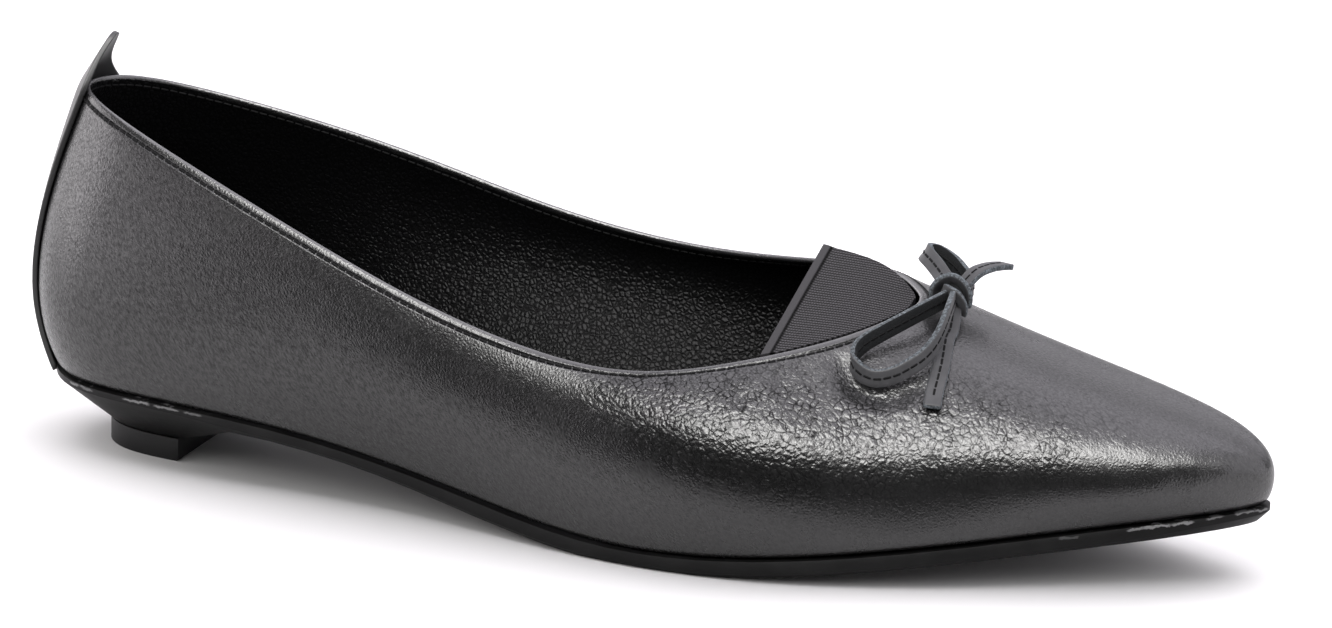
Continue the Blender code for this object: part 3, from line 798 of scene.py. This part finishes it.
lace = dict(  # dark and light tone of each side
    face=((0.034, 0.0343, 0.0358, 1), (0.080, 0.0806, 0.0838, 1)),
    cutEdge=((0.012, 0.0145, 0.0165, 1), (0.150, 0.172, 0.188, 1)),
    back=((0.003, 0.0034, 0.0038, 1), (0.013, 0.0145, 0.016, 1)),
)


def makeLaceLook():
    look, w, shader = newLook("laceLeather", Specular_IOR_Level=0.2)
    pores = w.noise(0.4 * mm, 3.0, 0.6)
    cloud = w.noise(3 * mm, 2.0)
    w.feed(shader.inputs["Base Color"], w.mix(cloud, *lace["face"]))
    w.feed(shader.inputs["Roughness"], 0.45 + 0.12 * cloud)
    w.feed(shader.inputs["Normal"], w.bump(pores, 0.018 * mm))
    return look


def makeLaceEdgeLook():
    look, w, shader = newLook("laceCutEdge", Specular_IOR_Level=0.3)
    fibre = w.noise(0.55 * mm, 3.0, 0.7).ramp(0.3, 0.75)
    w.feed(shader.inputs["Base Color"], w.mix(fibre, *lace["cutEdge"]))
    w.feed(shader.inputs["Roughness"], 0.7 + 0.15 * fibre)
    w.feed(shader.inputs["Normal"], w.bump(fibre, 0.12 * mm))
    return look


def makeLaceBackLook():
    look, w, shader = newLook("laceBack", Specular_IOR_Level=0.12, Sheen_Weight=0.04)
    nap = w.noise(0.3 * mm, 3.0, 0.7)
    w.feed(shader.inputs["Base Color"], w.mix(nap, *lace["back"]))
    w.feed(shader.inputs["Roughness"], 0.75 + 0.15 * nap)
    w.feed(shader.inputs["Normal"], w.bump(nap, 0.14 * mm))
    return look


laceLooks = [makeLaceLook(), makeLaceEdgeLook(), makeLaceBackLook()]
laceStitches = []


def leaveKnot(point):
    heading = point - knot
    half = (knotHigh - knotLow) / 2
    return knot + heading / np.linalg.norm(heading / half) * 0.6


def routeOf(points, lifted, loop):
    route = []
    for forward, side, up in np.array(points) * mm:
        if lifted:
            hit, normal = onVamp(knot[0] + forward, knot[1] + side)
            route.append(hit + normal * up)
        else:
            route.append(np.array([knot[0] + forward, knot[1] + side, knotLow[2] + up]))
    route.insert(0, leaveKnot(route[0]))
    if loop:
        route.append(leaveKnot(route[-1]))
    return walk(route, count=bow["steps"])


def bendLace(name, route, broad, goodSide=1, width=1.0, sewn=True):
    ahead = unit(np.gradient(route, axis=0))
    broad = unit(broad - ahead * np.sum(ahead * broad, axis=1, keepdims=True))
    flat = np.cross(ahead, broad)
    bpy.ops.object.select_all(action="DESELECT")
    bpy.ops.mesh.primitive_grid_add(x_subdivisions=len(route) - 1, y_subdivisions=4, size=1.0)
    piece = bpy.context.object
    piece.name = piece.data.name = name
    grid = vertexPlaces(piece)
    column = np.clip(np.rint((grid[:, 0] + 0.5) * (len(route) - 1)).astype(int), 0, len(route) - 1)
    setPlaces(piece, route[column] + broad[column] * (grid[:, 1:2] * bow["width"] * width))
    for look in laceLooks:
        piece.data.materials.append(look)
    applyModifier(piece, "Thick", "SOLIDIFY", thickness=bow["thick"], offset=0.0)
    roundEdges(piece, bow["round"], 2, 50)
    tree = KDTree(len(route))
    for i, p in enumerate(route):
        tree.insert(p, i)
    tree.balance()
    for face in piece.data.polygons:
        facing = goodSide * Vector(flat[tree.find(face.center)[1]]).dot(face.normal)
        face.material_index = 0 if facing > 0.5 else 2 if facing < -0.5 else 1
    smoothBy(piece, 50)
    if sewn:
        run = np.append(0, np.cumsum(np.linalg.norm(np.diff(route, axis=0), axis=1)))
        for at in np.arange(bow["stitchPitch"], run[-1] - bow["stitchPitch"], bow["stitchPitch"]):
            middle, onward, face = (np.array([np.interp(at, run, row[:, k]) for k in range(3)])
                                    for row in (route, ahead, flat))
            for side in (1, -1):
                laceStitches.append((middle + side * face * bow["thick"] / 2, onward, side * face))
    return piece


def makeLaces():
    outerLoop = routeOf(bow["outerLoop"], True, True)
    innerLoop = routeOf(bow["innerLoop"], False, True)
    outerTail = routeOf(bow["outerTail"], True, False)
    innerTail = routeOf(bow["innerTail"], False, False)
    level = np.tile([0, 0, 1.0], (bow["steps"], 1))
    share = soft(np.linspace(0, 1, bow["steps"]))[:, None]
    leaning = (1 - share) * np.array(bow["innerLean"]) + share * level
    onLeather = np.cross([onVamp(x, y)[1] for x, y, _ in outerTail], np.gradient(outerTail, axis=0))
    inAir = np.cross(level, np.gradient(innerTail, axis=0))
    pieces = [  # name, route, broad side, which face is the grain side, solid
        ("bowLoopOuter", outerLoop, level, 1, "bow_loop_outer"),
        ("bowLoopInner", innerLoop, leaning, -1, "bow_loop_inner"),
        ("bowTailOuter", outerTail, onLeather, 1, "bow_tail_outer"),
        ("bowTailInner", innerTail, inAir, 1, "bow_tail_inner"),
    ]
    for name, route, broad, goodSide, node in pieces:
        seat(bendLace(name, route, broad, goodSide), [], "lace_leather", node)


def makeKnot():
    # a turn of lace arched over the crossing, a second one drawn down across it, and what they hold
    facing = unit(np.array(bow["knotFacing"]))
    arch = knot + walk(np.array(bow["knotArch"]) * mm, count=bow["steps"] // 2)
    flare = unit(arch - knot - (arch - knot) @ facing[:, None] * facing)
    turn = bendLace("bowKnotTurn", arch, facing + 0.75 * flare, width=bow["archWidth"], sewn=False)
    seat(turn, [], "lace_leather", "bow_knot")
    band = knot + walk(np.array(bow["knotBand"]) * mm, count=bow["steps"] // 2)
    across = np.cross(facing, np.gradient(band, axis=0) / mm)
    cross = bendLace("bowKnotCross", band, unit(across) * 0.9 + 0.45 * facing, width=bow["bandWidth"], sewn=False)
    seat(cross, [], "lace_leather")
    bpy.ops.object.select_all(action="DESELECT")
    bpy.ops.mesh.primitive_uv_sphere_add(segments=24, ring_count=14, radius=1.0)
    core = bpy.context.object
    core.name = core.data.name = "bowKnotCore"
    places = vertexPlaces(core)
    lumps = 1 + 0.10 * np.sin(3 * places[:, 2:3] + 4 * places[:, 0:1]) * np.cos(3 * places[:, 1:2])
    setPlaces(core, knot + places * lumps * np.array(bow["knotCore"]) * mm)
    pick(core)
    bpy.ops.object.shade_smooth()
    seat(core, [laceLooks[2]], "lace_leather")


makeLaces()
makeKnot()
sewRow("laceStitches", laceStitches, "lace_leather")
print("bow done")

# floor, light and camera

studio = dict(
    floorSize=9.0,
    floorTone=0.71,
    floorTint=(1.0, 0.995, 0.98),
    world=0.10,
    # beyond a slanted line in front of the shoe, between two sides, the floor isn't mirrored in the leather
    tableFront=(40 * mm, -58 * mm),
    tableSlant=17,
    tableFrontEnds=((-62 * mm, -62 * mm, -40), (185 * mm, -62 * mm, 60)),
)
# name, heading from the outer side towards the toe, elevation, distance, width, height, brightness, colour
lights = [
    ("keyPanel", 4.0, 46.0, 2.0, 1.75, 1.45, 13.2, (1.0, 0.99, 0.975)),
    ("toePanel", 39.0, 36.5, 2.0, 0.9, 0.72, 9.5, (1.0, 0.99, 0.975)),
    ("overhead", 180.0, 82.0, 1.4, 2.2, 1.8, 2.55, (1.0, 0.965, 1.045)),
    ("softTop", 180.0, 86.0, 1.5, 2.2, 2.2, 1.25, (1.0, 1.0, 1.0)),
    ("frontFill", -20.0, 38.0, 2.0, 2.4, 1.2, 1.2, (1.0, 1.0, 1.0)),
    ("backPanel", 180.0, 28.0, 1.8, 2.6, 1.25, 1.2, (1.0, 0.97, 1.04)),
    ("leftPanel", -63.0, 4.0, 0.48, 0.40, 0.34, 1.6, (1.0, 0.955, 1.0)),
    ("leftBackPanel", -108.0, 8.0, 1.5, 2.1, 1.2, 3.3, (1.0, 0.965, 0.99)),
    ("rightPanel", 99.0, 24.0, 1.3, 1.6, 1.1, 1.7, (1.0, 0.97, 1.03)),
]
glossOnly = ["keyPanel", "toePanel"]    # seen in the shine of the leather, but not filling the shadows
lightOnly = ["softTop", "frontFill"]    # on the floor and the matt parts, but not seen in the shine
view = dict(target=(0.03129, -0.06415, 0.0606), azimuth=21.6, elevation=16.9, roll=1.1, distance=1.721,
            focalPixels=9212.0, framePixels=(1332, 628), sensor=36.0)


def makeFloor():
    bpy.ops.object.select_all(action="DESELECT")
    bpy.ops.mesh.primitive_plane_add(size=studio["floorSize"], location=(0, 0, 0))
    floor = bpy.context.object
    floor.name = "floorSheet"
    look, w, shader = newLook("paleFloor", Roughness=0.8, Specular_IOR_Level=0.1)
    shader.inputs["Base Color"].default_value = [studio["floorTone"] * part for part in studio["floorTint"]] + [1]
    floor.data.materials.append(look)
    # the front of the table is cut out as a sheet of its own, which glossy leather doesn't mirror
    slant = math.radians(studio["tableSlant"])
    cuts = [(Vector((*studio["tableFront"], 0)), Vector((math.sin(slant), -math.cos(slant), 0)))]
    for (x, y, heading), side in zip(studio["tableFrontEnds"], (1, -1)):
        turn = math.radians(heading)
        cuts.append((Vector((x, y, 0)), side * Vector((math.cos(turn), math.sin(turn), 0))))
    bpy.ops.object.mode_set(mode="EDIT")
    for place, normal in cuts:
        bpy.ops.mesh.select_all(action="SELECT")
        bpy.ops.mesh.bisect(plane_co=place, plane_no=normal)
    bpy.ops.mesh.select_mode(type="FACE")
    bpy.ops.mesh.select_all(action="DESELECT")
    bpy.ops.object.mode_set(mode="OBJECT")
    for face in floor.data.polygons:
        face.select = all((face.center - place).dot(normal) > 0 for place, normal in cuts)
    bpy.ops.object.mode_set(mode="EDIT")
    bpy.ops.mesh.separate(type="SELECTED")
    bpy.ops.object.mode_set(mode="OBJECT")
    frontSheet = next(o for o in bpy.context.selected_objects if o is not floor)
    frontSheet.name = "floorFront"
    frontSheet.visible_glossy = False


def towards(turn, lift):
    return Vector((math.sin(turn) * math.cos(lift), -math.cos(turn) * math.cos(lift), math.sin(lift)))


def makeLights():
    for name, heading, elevation, distance, wide, high, brightness, colour in lights:
        lamp = bpy.data.lights.new(name, "AREA")
        lamp.shape = "RECTANGLE"
        lamp.size, lamp.size_y = wide, high
        lamp.energy = brightness * math.pi * wide * high
        lamp.color = colour
        made = bpy.data.objects.new(name, lamp)
        made.visible_diffuse = name not in glossOnly
        made.visible_glossy = name not in lightOnly
        turn, lift = math.radians(heading), math.radians(elevation)
        made.location = distance * towards(turn, lift)
        made.rotation_euler = (-made.location).to_track_quat("-Z", "Y").to_euler()
        scene.collection.objects.link(made)
    world = bpy.data.worlds.new("studioAir")
    world.use_nodes = True
    air = world.node_tree.nodes["Background"]
    air.inputs["Color"].default_value = (1, 1, 1, 1)
    air.inputs["Strength"].default_value = studio["world"]
    scene.world = world
    scene.view_settings.view_transform = "Standard"


def makeCamera():
    a, e, r = (math.radians(view[k]) for k in ("azimuth", "elevation", "roll"))
    back = towards(a, e)
    right = Vector((math.cos(a), math.sin(a), 0))
    up = back.cross(right)
    right, up = math.cos(r) * right + math.sin(r) * up, math.cos(r) * up - math.sin(r) * right
    lens = bpy.data.cameras.new("shoeCamera")
    lens.sensor_width = view["sensor"]
    lens.lens = view["focalPixels"] / view["framePixels"][0] * view["sensor"]
    lens.clip_start, lens.clip_end = 0.05, 30.0
    camera = bpy.data.objects.new("shoeCamera", lens)
    turn = Matrix((right, up, back)).transposed().to_4x4()
    camera.matrix_world = Matrix.Translation(Vector(view["target"]) + back * view["distance"]) @ turn
    scene.collection.objects.link(camera)
    scene.camera = camera


makeFloor()
makeLights()
makeCamera()
print("studio done")
